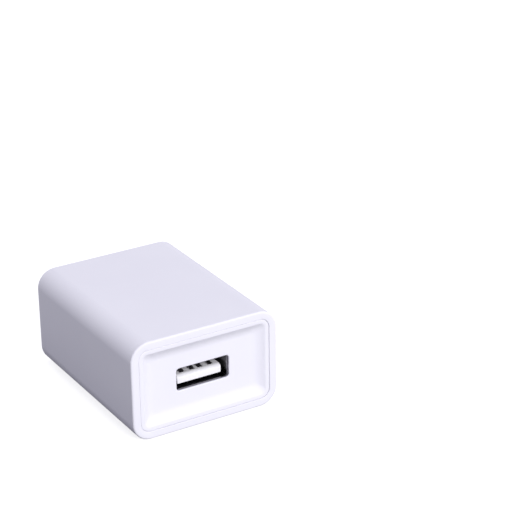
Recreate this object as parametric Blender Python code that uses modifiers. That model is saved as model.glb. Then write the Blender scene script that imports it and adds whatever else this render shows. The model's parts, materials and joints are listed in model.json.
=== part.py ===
"""USB wall charger: a white two-blade mains plug with one USB-A socket, as an assembly.

The charger lies on one broad face. +X is its width, +Y points out of the plug face along
the blades, +Z is its thickness. The origin is the centre of the broad face it rests on.
Every length below is in millimetres, and the helpers scale it to metres.
"""

import math

import bmesh
import bpy
from mathutils import Matrix, Vector

MM = 0.001

# Driving dimensions: the housing
WIDTH = 36.0
LENGTH = 46.0
THICKNESS = 23.2
CORNER = 4.4
WALL = 1.9
RIM_ROUND = 0.5
SEAM = 0.15
BORE_CORNER = 2.3
SEAT_INSET = 0.95
SEAT_CORNER = 3.4
USB_END = -LENGTH / 2
PLUG_END = LENGTH / 2
MID = THICKNESS / 2

# Driving dimensions: the mains blades
BLADE_SPACING = 12.7
BLADE_WIDTH = 6.35
BLADE_THICK = 1.5
BLADE_REACH = 16.4
BLADE_TIP = 1.8
BLADE_SHOULDER = 3.9
BLADE_TAIL = 2.0
BLADE_COINING = 0.1

# Driving dimensions: the socket and its panel
SOCKET_WIDTH = 12.5
SOCKET_HEIGHT = 5.12
SHEET = 0.3
MOUTH_WIDTH = 13.05
MOUTH_HEIGHT = 5.3
RING_WIDTH = 0.85
DISH_SLOPE = 2.8
PANEL_DEPTH = 1.3
PANEL_THICK = 1.2
MOUTH_LIP = 0.35
MOUTH_CORNER = 0.7
COVER_CORNER = BORE_CORNER - SEAM
COVER_SHEET = 1.2
COVER_DEPTH = 3.1
TONGUE_HALF_WIDTH = 5.55
TONGUE_LOW = 9.6
TONGUE_HIGH = 11.6
TONGUE_BEVEL = 0.6
CONTACT_WIDTH = 0.9
CONTACT_THICK = 0.25
CONTACT_PLACES = (-3.5, -1.0, 1.0, 3.5)

# Driving dimensions: the circuit board, whose parts hang below it
BOARD_WIDTH = 31.4
BOARD_THICK = 1.0
BOARD_LOW = 14.6
BOARD_HIGH = BOARD_LOW + BOARD_THICK
BOARD_FRONT = USB_END + 3.4
BOARD_REAR = 14.4
REST_GAP = 0.15
HANG_TOP = BOARD_LOW - REST_GAP
SURFACE = BOARD_HIGH + REST_GAP
LEAD_TIP = BOARD_HIGH + 0.8
LEAD_RADIUS = 0.3
LEAD_HOLE = 0.6

# Levels along Y that several parts share
PANEL_FACE = USB_END + PANEL_DEPTH
PANEL_BACK = PANEL_FACE + PANEL_THICK
PLUG_FACE = PLUG_END - 0.15
PLUG_SEAT = PLUG_END - 1.9
SPIGOT_BACK = 18.6
BOSS_BACK = 17.4
SHOULDER_FACE = 17.1
RETAINER_BACK = 14.75
RETAINER_THICK = 1.0
TAIL_END = 12.0
TAIL_HOLE = 13.4
PEG_HEIGHTS = (MID - 2.6, MID + 2.6)

# Where each component stands on the board
CAN_RADIUS = 4.0
CAN_HEIGHT = 11.8
CAN_PITCH = 1.75
INPUT_CAPACITOR = (11.0, 3.2)
OUTPUT_CAPACITOR = (11.0, -13.4)
BIAS_CAPACITOR = (11.0, -5.1)
Y_CAPACITOR = (-11.0, -5.25)
CHOKE = (11.0, 10.8)
RESISTOR = (-11.0, 10.5)
NEUTRAL_PAD = (2.0, 11.4)
TRANSFORMER_Y = 2.2
TRANSFORMER_Z = 8.3
TRANSFORMER_PIN_XS = (-3.5, 0.0, 3.5)
TRANSFORMER_PIN_YS = (TRANSFORMER_Y - 5.8, TRANSFORMER_Y + 5.8)
CONTACT_ROOT = -9.0
TONGUE_TIP = -20.0
SHELL_LEG_Y = -12.0


def clear_scene():
    for item in list(bpy.data.objects):
        bpy.data.objects.remove(item)


def new_collection(name, hidden=False):
    made = bpy.data.collections.new(name)
    made.hide_render = hidden
    bpy.context.scene.collection.children.link(made)
    return made


def new_material(name, colour, roughness, metallic=0.0):
    made = bpy.data.materials.new(name)
    made.use_nodes = True
    shader = made.node_tree.nodes["Principled BSDF"]
    shader.inputs["Base Color"].default_value = (*colour, 1.0)
    shader.inputs["Roughness"].default_value = roughness
    shader.inputs["Metallic"].default_value = metallic
    return made


clear_scene()
PARTS = new_collection("usb_wall_charger")
HELPERS = new_collection("cutters_and_helpers", hidden=True)

WHITE = new_material("housing_white", (0.86, 0.85, 0.90), 0.38)
NICKEL = new_material("blade_nickel", (0.70, 0.67, 0.70), 0.28, 1.0)
STEEL = new_material("shell_steel", (0.15, 0.15, 0.16), 0.20, 1.0)
SOCKET_WHITE = new_material("socket_white", (0.88, 0.87, 0.86), 0.45)
TIN = new_material("contact_tin", (0.56, 0.55, 0.58), 0.32, 1.0)
BOARD = new_material("board_laminate", (0.55, 0.42, 0.20), 0.60)
FERRITE = new_material("ferrite", (0.05, 0.05, 0.055), 0.55)
BOBBIN = new_material("bobbin_black", (0.02, 0.02, 0.02), 0.50)
COPPER = new_material("copper_wire", (0.72, 0.36, 0.16), 0.35, 1.0)
TAPE = new_material("polyester_tape", (0.85, 0.70, 0.12), 0.40)
CAN_SLEEVE = new_material("capacitor_sleeve", (0.05, 0.07, 0.16), 0.40)
DISC_BLUE = new_material("disc_blue", (0.06, 0.18, 0.50), 0.50)
EPOXY = new_material("chip_epoxy", (0.03, 0.03, 0.03), 0.55)
CHIP_CERAMIC = new_material("chip_ceramic", (0.48, 0.40, 0.32), 0.60)
RESISTOR_BODY = new_material("resistor_body", (0.20, 0.42, 0.30), 0.50)
HEAT_SHRINK = new_material("heat_shrink", (0.02, 0.02, 0.02), 0.60)
WIRE_RED = new_material("wire_insulation", (0.60, 0.05, 0.04), 0.45)
FILM = new_material("insulation_film", (0.80, 0.78, 0.70), 0.45)


def add_object(name, mesh, material=None, place=None):
    """An object in the parts collection, or a hidden helper where it has no material."""
    made = bpy.data.objects.new(name, mesh)
    if material:
        mesh.materials.append(material)
        PARTS.objects.link(made)
    else:
        made.hide_render = True
        made.display_type = "WIRE"
        HELPERS.objects.link(made)
    if place:
        made.matrix_world = place
    return made


def object_from(shape, name, material=None, smooth=False):
    mesh = bpy.data.meshes.new(name)
    bmesh.ops.recalc_face_normals(shape, faces=shape.faces)
    shape.to_mesh(mesh)
    shape.free()
    if smooth:
        mesh.shade_smooth()
        mesh.set_sharp_from_angle(angle=math.radians(35))
    return add_object(name, mesh, material)


def box(low, high):
    """A box between two corners."""
    shape = bmesh.new()
    bmesh.ops.create_cube(shape, size=MM)
    size = Vector(high) - Vector(low)
    centre = (Vector(high) + Vector(low)) / 2
    bmesh.ops.scale(shape, vec=size, verts=shape.verts)
    bmesh.ops.translate(shape, vec=centre * MM, verts=shape.verts)
    return shape


def rounded(shape, axis, radius, segments=4):
    """Rounds the edges of a box that run along one axis: 0 is X, 1 is Y, 2 is Z."""
    others = [side for side in range(3) if side != axis]
    edges = []
    for edge in shape.edges:
        run = edge.verts[0].co - edge.verts[1].co
        if all(abs(run[side]) < 1e-7 for side in others):
            edges.append(edge)
    bmesh.ops.bevel(
        shape, geom=edges, offset=radius * MM, offset_type="OFFSET",
        segments=segments, profile=0.5, affect="EDGES",
    )
    return shape


def slab(half_width, half_height, near, far, radius, segments=4):
    """A block centred on the charger's long axis, from near to far along Y, its corners rounded."""
    low = (-half_width, near, MID - half_height)
    high = (half_width, far, MID + half_height)
    return rounded(box(low, high), 1, radius, segments)


def cylinder(centre, radius, length, axis="Z", segments=16):
    """A cylinder centred on a point, along X, Y or Z."""
    turns = {"X": Matrix.Rotation(math.pi / 2, 4, "Y"), "Y": Matrix.Rotation(math.pi / 2, 4, "X")}
    shape = bmesh.new()
    bmesh.ops.create_cone(
        shape, cap_ends=True, segments=segments,
        radius1=radius * MM, radius2=radius * MM, depth=length * MM,
    )
    place = Matrix.Translation(Vector(centre) * MM) @ turns.get(axis, Matrix())
    bmesh.ops.transform(shape, matrix=place, verts=shape.verts)
    return shape


def together(shapes):
    """Several shapes that don't touch, as one mesh."""
    whole = bmesh.new()
    for shape in shapes:
        passing = bpy.data.meshes.new("passing")
        shape.to_mesh(passing)
        shape.free()
        whole.from_mesh(passing)
        bpy.data.meshes.remove(passing)
    return whole


def combine(target, helper, operation):
    step = target.modifiers.new(helper.name, "BOOLEAN")
    step.operation = operation
    step.solver = "EXACT"
    step.object = helper


def cut(target, name, *shapes):
    combine(target, object_from(together(shapes), name), "DIFFERENCE")


def join(target, name, *shapes):
    combine(target, object_from(together(shapes), name), "UNION")


def thicken(sheet, thickness):
    """Makes an open surface solid, half its thickness to each side."""
    solid = sheet.modifiers.new("thickness", "SOLIDIFY")
    solid.thickness = thickness * MM
    solid.offset = 0.0
    solid.use_even_offset = True


def turned(name, profile, material, centre, steps=20):
    """A shape turned about a vertical line. The profile is (radius, height), outer side downwards.

    A profile that starts off the line is a ring's section, and is closed."""
    mesh = bpy.data.meshes.new(name)
    points = [(radius * MM, 0.0, height * MM) for radius, height in profile]
    edges = [(i, i + 1) for i in range(len(points) - 1)]
    if profile[0][0] > 0:
        edges.append((len(points) - 1, 0))
    mesh.from_pydata(points, edges, [])
    made = add_object(name, mesh, material, Matrix.Translation(Vector(centre) * MM))
    screw = made.modifiers.new("turn", "SCREW")
    screw.steps = steps
    screw.render_steps = steps
    screw.use_merge_vertices = True
    screw.merge_threshold = 1e-6
    return made


def mesh_of_curve(curve_object, material=None):
    """The same object made a closed mesh, in the curve's place."""
    bpy.context.view_layer.update()
    graph = bpy.context.evaluated_depsgraph_get()
    mesh = bpy.data.meshes.new_from_object(curve_object.evaluated_get(graph))
    shape = bmesh.new()
    shape.from_mesh(mesh)
    bmesh.ops.remove_doubles(shape, verts=shape.verts, dist=1e-7)
    bmesh.ops.recalc_face_normals(shape, faces=shape.faces)
    shape.to_mesh(mesh)
    shape.free()
    mesh.materials.clear()
    name, place = curve_object.name, curve_object.matrix_world.copy()
    bpy.data.objects.remove(curve_object)
    return add_object(name, mesh, material, place)


def plate(name, loops, thickness, material, place):
    """A flat outline with its holes, in its own XY plane, given half its thickness each way."""
    curve = bpy.data.curves.new(name, "CURVE")
    curve.dimensions = "2D"
    curve.fill_mode = "BOTH"
    curve.extrude = thickness / 2 * MM
    for loop in loops:
        spline = curve.splines.new("POLY")
        spline.points.add(len(loop) - 1)
        spline.use_cyclic_u = True
        for point, (across, along) in zip(spline.points, loop):
            point.co = (across * MM, along * MM, 0.0, 1.0)
    outline = bpy.data.objects.new(name, curve)
    PARTS.objects.link(outline)
    outline.matrix_world = place
    return mesh_of_curve(outline, material)


def smooth_route(corners, steps=4):
    """Points along a Catmull-Rom curve through the corners."""
    ends = [corners[0]] + list(corners) + [corners[-1]]
    knots = [Vector(corner) for corner in ends]
    route = []
    for before, start, end, after in zip(knots, knots[1:], knots[2:], knots[3:]):
        for step in range(steps):
            t = step / steps
            route.append(
                0.5 * (2 * start + (end - before) * t
                       + (2 * before - 5 * start + 4 * end - after) * t * t
                       + (3 * start - before - 3 * end + after) * t ** 3)
            )
    return route + [knots[-1]]


def wire(name, corners, radius, material=None):
    """A round wire along a smooth route, as a closed mesh."""
    route = smooth_route(corners)
    curve = bpy.data.curves.new(name, "CURVE")
    curve.dimensions = "3D"
    curve.bevel_depth = radius * MM
    curve.bevel_resolution = 2
    curve.use_fill_caps = True
    spline = curve.splines.new("POLY")
    spline.points.add(len(route) - 1)
    for point, place in zip(spline.points, route):
        point.co = (*(place * MM), 1.0)
    line = bpy.data.objects.new(name, curve)
    HELPERS.objects.link(line)
    bpy.context.view_layer.update()
    return mesh_of_curve(line, material)


def arc(centre, radius, start, end, steps):
    """Points on a flat arc, with its angles in degrees."""
    points = []
    for step in range(steps + 1):
        angle = math.radians(start + (end - start) * step / steps)
        points.append((centre[0] + radius * math.cos(angle), centre[1] + radius * math.sin(angle)))
    return points


def lead(x, y, low, radius=LEAD_RADIUS):
    """A component lead that goes up through the board."""
    return cylinder((x, y, (low + LEAD_TIP) / 2), radius, LEAD_TIP - low, segments=8)


# The three mouldings that close the charger


def housing_sleeve():
    """The one-piece sleeve, open at both ends, with board rails and stops for the socket cover."""
    half_width, half_height = WIDTH / 2, THICKNESS / 2
    shape = slab(half_width, half_height, USB_END, PLUG_END, CORNER, 7)
    rims = [edge for edge in shape.edges if abs(edge.verts[0].co.y - edge.verts[1].co.y) < 1e-7]
    bmesh.ops.bevel(
        shape, geom=rims, offset=RIM_ROUND * MM, offset_type="OFFSET",
        segments=2, profile=0.5, affect="EDGES",
    )
    sleeve = object_from(shape, "housing_sleeve", WHITE, smooth=True)
    bore_width, bore_height = half_width - WALL, half_height - WALL
    cut(sleeve, "bore", slab(bore_width, bore_height, USB_END - 1, PLUG_END + 1, BORE_CORNER, 5))
    seat_width, seat_height = half_width - SEAT_INSET, half_height - SEAT_INSET
    cut(sleeve, "plug_cover_seat", slab(seat_width, seat_height, PLUG_SEAT, PLUG_END + 1, SEAT_CORNER, 5))
    rail_reach, rail_root, rail_thick, rail_gap = 0.8, 0.4, 0.75, 0.3
    rails = []
    for side in (-1, 1):
        across = sorted((side * (bore_width - rail_reach), side * (bore_width + rail_root)))
        for low in (BOARD_LOW - rail_gap - rail_thick, BOARD_HIGH + rail_gap):
            high = (across[1], BOARD_REAR - 2.4, low + rail_thick)
            rails.append(box((across[0], BOARD_FRONT + 0.6, low), high))
    join(sleeve, "board_rails", *rails)
    stop_reach, stop_root, near = 0.8, 0.4, USB_END + COVER_DEPTH + 0.3
    stops = []
    for across in (-11.0, 0.0, 11.0):
        for low in (WALL - stop_root, THICKNESS - WALL - stop_reach):
            high = (across + 1.5, near + 2, low + stop_root + stop_reach)
            stops.append(box((across - 1.5, near, low), high))
    join(sleeve, "cover_stops", *stops)


def usb_face_cover():
    """The socket end: a narrow flat ring round a dished panel, with the mouth of the socket in it."""
    half_width = WIDTH / 2 - WALL - SEAM
    half_height = THICKNESS / 2 - WALL - SEAM
    front, back = USB_END + 0.1, USB_END + COVER_DEPTH
    block = slab(half_width, half_height, front, back, COVER_CORNER, 5)
    cover = object_from(block, "usb_face_cover", WHITE, smooth=True)
    floor_width = half_width - RING_WIDTH - DISH_SLOPE
    floor_height = half_height - RING_WIDTH - DISH_SLOPE
    clearance = 0.5
    dish = slab(floor_width, floor_height, USB_END - clearance, PANEL_FACE, 0.9, 5)
    widening = DISH_SLOPE * (PANEL_DEPTH + clearance) / (PANEL_FACE - front)
    for vertex in dish.verts:
        if vertex.co.y < USB_END * MM:
            vertex.co.x *= 1 + widening / floor_width
            vertex.co.z = MID * MM + (vertex.co.z - MID * MM) * (1 + widening / floor_height)
    cut(cover, "dish", dish)
    hollow_width, hollow_height = half_width - COVER_SHEET, half_height - COVER_SHEET
    cut(cover, "cover_hollow", slab(hollow_width, hollow_height, PANEL_BACK, back + 1, 1.0, 3))
    mouth = slab(MOUTH_WIDTH / 2, MOUTH_HEIGHT / 2, USB_END - 1, back + 1, MOUTH_CORNER, 4)
    cut(cover, "socket_mouth", mouth)
    pocket_width = SOCKET_WIDTH / 2 + SHEET + 0.2
    pocket_height = SOCKET_HEIGHT / 2 + SHEET + 0.2
    cut(cover, "socket_pocket", slab(pocket_width, pocket_height, PANEL_FACE + MOUTH_LIP, back + 1, 0.8, 4))
    tab_inset, tab_thick, tab_root, tab_reach = 0.1, 1.0, 0.4, 2.0
    tabs = []
    for side in (-1, 1):
        across = sorted((side * 5.5, side * 8.5))
        for low in (MID - half_height + tab_inset, MID + half_height - tab_inset - tab_thick):
            high = (across[1], back + tab_reach, low + tab_thick)
            tabs.append(box((across[0], back - tab_root, low), high))
    join(cover, "weld_tabs", *tabs)


def plug_face_cover():
    """The plug end: a flange in the sleeve's seat, a spigot, and the boss that grips the blades."""
    flange_width = WIDTH / 2 - SEAT_INSET - SEAM
    flange_height = THICKNESS / 2 - SEAT_INSET - SEAM
    flange = slab(flange_width, flange_height, PLUG_SEAT + SEAM, PLUG_FACE, SEAT_CORNER - SEAM, 5)
    cover = object_from(flange, "plug_face_cover", WHITE, smooth=True)
    root = PLUG_SEAT + 0.6
    outer_width, outer_height = WIDTH / 2 - WALL - 0.2, THICKNESS / 2 - WALL - 0.2
    spigot = object_from(slab(outer_width, outer_height, SPIGOT_BACK, root, 2.1, 4), "plug_spigot")
    inner_width, inner_height = outer_width - COVER_SHEET, outer_height - COVER_SHEET
    cut(spigot, "spigot_hollow", slab(inner_width, inner_height, SPIGOT_BACK - 1, root + 1, 1.0, 3))
    combine(cover, spigot, "UNION")
    join(cover, "blade_boss", slab(9.2, 4.4, BOSS_BACK, root, 0.8, 2))
    pegs = [cylinder((0, 16.0, height), 0.8, 3.2, "Y", 10) for height in PEG_HEIGHTS]
    join(cover, "retainer_pegs", *pegs)
    slots = []
    for side in (-1, 1):
        across = side * BLADE_SPACING / 2
        reach = BLADE_THICK / 2 + SEAM
        low = (across - reach, BOSS_BACK - 1, MID - BLADE_WIDTH / 2 - SEAM)
        slots.append(box(low, (across + reach, PLUG_END + 1, MID + BLADE_WIDTH / 2 + SEAM)))
    cut(cover, "blade_slots", *slots)


def blade_retainer():
    """The inner plate that holds both blades against the boss, staked on two pegs."""
    plate_end = RETAINER_BACK + RETAINER_THICK
    retainer = object_from(slab(9.0, 4.2, RETAINER_BACK, plate_end, 0.8, 2), "blade_retainer", WHITE)
    reach, half = BLADE_THICK / 2 + 0.2, BLADE_TAIL + 0.25
    slots = []
    for side in (-1, 1):
        across = side * BLADE_SPACING / 2
        low = (across - reach, RETAINER_BACK - 1, MID - half)
        slots.append(box(low, (across + reach, plate_end + 1, MID + half)))
    pegs = [cylinder((0, RETAINER_BACK, height), 1.0, 3, "Y", 10) for height in PEG_HEIGHTS]
    cut(retainer, "retainer_openings", *slots, *pegs)


def blade(side, name):
    """A flat mains blade: rounded and chamfered tip, shoulder behind the boss, narrow tail.

    The part inside the plug cover is coined a little thinner, so the face outside is a face of its own."""
    tip = PLUG_FACE + BLADE_REACH
    half = BLADE_WIDTH / 2
    crown = (half ** 2 + BLADE_TIP ** 2) / (2 * BLADE_TIP)
    spread = math.degrees(math.asin(half / crown))
    outline = arc((0, tip - crown), crown, 90 - spread, 90 + spread, 8)
    shoulder = [(-half, SHOULDER_FACE), (-BLADE_SHOULDER, SHOULDER_FACE)]
    shoulder += [(-BLADE_SHOULDER, SHOULDER_FACE - 0.9), (-BLADE_TAIL, SHOULDER_FACE - 1.1)]
    tail = arc((-BLADE_TAIL + 0.6, TAIL_END + 0.6), 0.6, 180, 270, 3)
    outline += shoulder + tail
    outline += [(-across, along) for across, along in reversed(shoulder + tail)]
    hole = arc((0, TAIL_HOLE), 0.7, 0, 330, 11)
    # The outline's X runs along world Z, its Y along world Y, and its thickness along X.
    turn = Matrix(((0, 0, 1, 0), (0, 1, 0, 0), (1, 0, 0, 0), (0, 0, 0, 1)))
    place = Matrix.Translation(Vector((side * BLADE_SPACING / 2, 0, MID)) * MM) @ turn
    made = plate(name, [outline, hole], BLADE_THICK, NICKEL, place)
    chamfer_angle, chamfer_middle, wedge_offset = 16, tip - 0.9, BLADE_THICK / 2 + 0.23
    chamfers = []
    for face in (-1, 1):
        wedge = box((-0.5, -2.0, -half - 1), (0.5, 2.0, half + 1))
        lean = Matrix.Rotation(math.radians(face * chamfer_angle), 4, "Z")
        centre = Vector((side * BLADE_SPACING / 2 + face * wedge_offset, chamfer_middle, MID))
        bmesh.ops.transform(wedge, matrix=Matrix.Translation(centre * MM) @ lean, verts=wedge.verts)
        chamfers.append(wedge)
    cut(made, name + "_chamfers", *chamfers)
    coined = []
    for face in (-1, 1):
        surface = side * BLADE_SPACING / 2 + face * (BLADE_THICK / 2 - BLADE_COINING)
        across = sorted((surface, surface + face))
        low = (across[0], TAIL_END - 1, MID - half - 1)
        coined.append(box(low, (across[1], PLUG_FACE + 0.1, MID + half + 1)))
    cut(made, name + "_coining", *coined)


# The socket


def usb_shell():
    """The folded steel shell, with four retention fingers and two legs into the board."""
    near, far = PANEL_FACE + MOUTH_LIP + SEAM, CONTACT_ROOT + 1.7
    half_width, half_height = SOCKET_WIDTH / 2 + SHEET, SOCKET_HEIGHT / 2 + SHEET
    shell = object_from(slab(half_width, half_height, near, far, 0.6, 3), "usb_shell", STEEL)
    cut(shell, "shell_inside", slab(SOCKET_WIDTH / 2, SOCKET_HEIGHT / 2, near - 1, far + 1, 0.3, 2))
    cut(shell, "tail_notch", box((-5.2, CONTACT_ROOT - 1.6, MID + 2), (5.2, far + 1, MID + 4)))
    legs = []
    for side in (-1, 1):
        across = sorted((side * (half_width - SHEET), side * half_width))
        low = (across[0], SHELL_LEG_Y - 0.8, BOARD_LOW - 1.2)
        legs.append(box(low, (across[1], SHELL_LEG_Y + 0.8, LEAD_TIP)))
    join(shell, "shell_legs", *legs)
    inner, outer, finger, window = 0.9, 1.25, 3.6, 3.95
    around = [(-outer, 0), (-inner, 0), (-inner, finger), (inner, finger),
              (inner, 0), (outer, 0), (outer, window), (-outer, window)]
    slots = []
    for across in (-3.1, 3.1):
        loop = [(across + x, near + 3.1 + y) for x, y in around]
        for level in (MID - half_height, MID + half_height):
            place = Matrix.Translation(Vector((0, 0, level)) * MM)
            slots.append(plate("finger_slot", [loop], 1.0, None, place))
    for slot in slots:
        combine(shell, slot, "DIFFERENCE")


def usb_insulator():
    """The white tongue and base block, grooved for the four contacts, which face the board."""
    base = object_from(box((-6.05, -10.3, 9.2), (6.05, -7.5, 14.0)), "usb_insulator", SOCKET_WHITE)
    shape = box((-TONGUE_HALF_WIDTH, TONGUE_TIP, TONGUE_LOW), (TONGUE_HALF_WIDTH, -9.8, TONGUE_HIGH))
    nose = []
    for edge in shape.edges:
        middle = (edge.verts[0].co + edge.verts[1].co) / 2 / MM
        if middle.y < TONGUE_TIP + 1 and middle.z > TONGUE_HIGH - 0.1:
            nose.append(edge)
    bmesh.ops.bevel(shape, geom=nose, offset=TONGUE_BEVEL * MM, segments=2, profile=0.5, affect="EDGES")
    join(base, "tongue", shape)
    half_groove = CONTACT_WIDTH / 2 + 0.2
    grooves = []
    for across in CONTACT_PLACES:
        low = (across - half_groove, TONGUE_TIP + 1.25, 10.7)
        grooves.append(box(low, (across + half_groove, CONTACT_ROOT + 0.7, 15)))
    cut(base, "contact_grooves", *grooves)


def usb_contact(number, across):
    """A sprung contact: a tail through the board, a beam along its groove and a bowed nose."""
    path = [
        (CONTACT_ROOT, LEAD_TIP), (CONTACT_ROOT, 11.6), (CONTACT_ROOT - 0.3, 11.3),
        (-15.9, 11.3), (-17.0, 11.78), (-17.6, 11.8), (-18.4, 11.4),
    ]
    name = f"usb_contact_{number}"
    strip = bmesh.new()
    edge = across - CONTACT_WIDTH / 2
    row = [strip.verts.new(Vector((edge, along, height)) * MM) for along, height in path]
    edges = [strip.edges.new(pair) for pair in zip(row, row[1:])]
    swept = bmesh.ops.extrude_edge_only(strip, edges=edges)["geom"]
    moved = [item for item in swept if isinstance(item, bmesh.types.BMVert)]
    bmesh.ops.translate(strip, vec=(CONTACT_WIDTH * MM, 0, 0), verts=moved)
    thicken(object_from(strip, name, TIN), CONTACT_THICK)


# The board and what hangs from it


def main_board():
    board = object_from(
        box((-BOARD_WIDTH / 2, BOARD_FRONT, BOARD_LOW), (BOARD_WIDTH / 2, BOARD_REAR, BOARD_HIGH)),
        "main_board", BOARD,
    )
    holes = [(across, CONTACT_ROOT, 0.65) for across in CONTACT_PLACES]
    for side in (-1, 1):
        for x, y in (INPUT_CAPACITOR, OUTPUT_CAPACITOR):
            holes += lead_holes(side * x, y, CAN_PITCH)
    holes += lead_holes(*BIAS_CAPACITOR, 1.0)
    holes += lead_holes(*CHOKE, 1.8)
    holes += [(Y_CAPACITOR[0], Y_CAPACITOR[1] + along, LEAD_HOLE) for along in (-2.5, 2.5)]
    holes += [(*RESISTOR, LEAD_HOLE), (*NEUTRAL_PAD, 1.0)]
    holes += [(across, along, LEAD_HOLE) for across in TRANSFORMER_PIN_XS for along in TRANSFORMER_PIN_YS]
    middle = BOARD_LOW + BOARD_THICK / 2
    drills = [cylinder((x, y, middle), radius, BOARD_THICK + 1, segments=8) for x, y, radius in holes]
    for side in (-1, 1):
        across = side * (SOCKET_WIDTH / 2 + SHEET / 2)
        low = (across - 0.45, SHELL_LEG_Y - 1.1, BOARD_LOW - 1)
        drills.append(box(low, (across + 0.45, SHELL_LEG_Y + 1.1, BOARD_HIGH + 1)))
    cut(board, "board_holes", *drills)


def lead_holes(x, y, spread):
    return [(x + spread * side, y, LEAD_HOLE) for side in (-1, 1)]


def electrolytic(name, x, y, radius, height, spread):
    """A can in its printed sleeve, with the crimp above its rubber bung, hanging by two leads."""
    profile = [
        (0, 0), (radius - 0.3, 0), (radius, -0.3), (radius, -1.0), (radius - 0.3, -1.4), (radius, -1.8),
        (radius, -height + 0.4), (radius - 0.4, -height), (0, -height),
    ]
    can = turned(name, profile, CAN_SLEEVE, (x, y, HANG_TOP))
    join(can, name + "_leads", *[lead(x + spread * side, y, HANG_TOP - 0.5) for side in (-1, 1)])


def y_capacitor():
    """The blue safety disc that bridges the mains side and the socket side."""
    x, y = Y_CAPACITOR
    disc = cylinder((x, y, 9.6), 3.6, 3.2, "X", 20)
    rims = [edge for edge in disc.edges if abs(edge.verts[0].co.x - edge.verts[1].co.x) < 1e-7]
    bmesh.ops.bevel(disc, geom=rims, offset=0.8 * MM, segments=2, profile=0.5, affect="EDGES")
    made = object_from(disc, "y_capacitor", DISC_BLUE, smooth=True)
    join(made, "y_capacitor_leads", *[lead(x, y + along, 9.6) for along in (-2.5, 2.5)])


def filter_choke():
    """A drum of ferrite on two leads, and the coil wound on its waist."""
    x, y = CHOKE
    drum = [(0, 0), (3.2, 0), (3.2, -1.0), (1.6, -1.0), (1.6, -7.0), (3.2, -7.0), (3.2, -8.0), (0, -8.0)]
    core = turned("choke_core", drum, FERRITE, (x, y, HANG_TOP))
    join(core, "choke_leads", *[lead(x + 1.8 * side, y, HANG_TOP - 0.4) for side in (-1, 1)])
    coil = [(1.75, -1.15), (2.8, -1.15), (2.9, -1.4), (2.9, -6.6), (2.8, -6.85), (1.75, -6.85)]
    turned("choke_winding", coil, COPPER, (x, y, HANG_TOP))


def fusible_resistor():
    """The input resistor, stood on end in heat-shrink, from the board to the left blade's tail."""
    x, y = RESISTOR
    top, bottom = 13.2, 5.6
    barrel = [(0, 0), (1.3, 0), (1.7, -0.4), (1.7, -1.2), (1.5, -1.6), (1.5, -6.0), (1.7, -6.4),
              (1.7, bottom - top + 0.4), (1.3, bottom - top), (0, bottom - top)]
    body = turned("fusible_resistor", barrel, RESISTOR_BODY, (x, y, top), 16)
    join(body, "resistor_top_lead", lead(x, y, top - 0.5))
    tail_face = -BLADE_SPACING / 2 - BLADE_THICK / 2
    route = [
        (x, y, bottom + 0.5), (x, y, bottom - 0.8), (x + 1.0, y + 0.9, bottom - 1.6),
        (x + 2.4, y + 2.2, bottom - 0.4), (x + 3.0, TAIL_HOLE, bottom + 2.5),
        (tail_face - 0.9, TAIL_HOLE, MID - 1.0), (tail_face - 0.15, TAIL_HOLE, MID),
    ]
    combine(body, wire("resistor_tail_lead", route, LEAD_RADIUS), "UNION")
    jacket = [(1.85, 0.4), (2.1, 0.4), (2.1, bottom - top - 0.4), (1.85, bottom - top - 0.4)]
    turned("resistor_heat_shrink", jacket, HEAT_SHRINK, (x, y, top), 16)


def neutral_lead():
    """The insulated wire from the right blade's tail to the board."""
    x, y = NEUTRAL_PAD
    tail_face = BLADE_SPACING / 2 - BLADE_THICK / 2
    route = [
        (tail_face - 0.2, TAIL_HOLE, MID), (tail_face - 1.5, TAIL_HOLE - 0.1, MID - 0.6),
        (x + 0.8, y + 1.0, MID - 0.4), (x, y, MID + 1.4), (x, y, LEAD_TIP),
    ]
    wire("neutral_lead", route, 0.65, WIRE_RED)


# The transformer


def core_half(name, side):
    """One E of the ferrite core. Side is -1 for the half towards the socket."""
    reach, back, gap = 6.4, 1.5, 0.1
    outline = [
        (-6.3, gap), (-5.0, gap), (-5.0, reach - back), (-1.5, reach - back), (-1.5, gap), (1.5, gap),
        (1.5, reach - back), (5.0, reach - back), (5.0, gap), (6.3, gap), (6.3, reach), (-6.3, reach),
    ]
    loop = [(across, along * side) for across, along in outline]
    place = Matrix.Translation(Vector((0, TRANSFORMER_Y, TRANSFORMER_Z)) * MM)
    plate(name, [loop], 6.0, FERRITE, place)


def ring(name, material, inner, outer, near, far, radius=0.5):
    """A rectangular ring round the transformer's winding axis, given as half sizes."""
    made = object_from(around_axis(outer, near, far, radius), name, material)
    cut(made, name + "_inside", around_axis(inner, near - 1, far + 1, radius / 2))
    return made


def around_axis(half, near, far, radius):
    low = (-half[0], TRANSFORMER_Y + near, TRANSFORMER_Z - half[1])
    high = (half[0], TRANSFORMER_Y + far, TRANSFORMER_Z + half[1])
    return rounded(box(low, high), 1, radius, 2)


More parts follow.
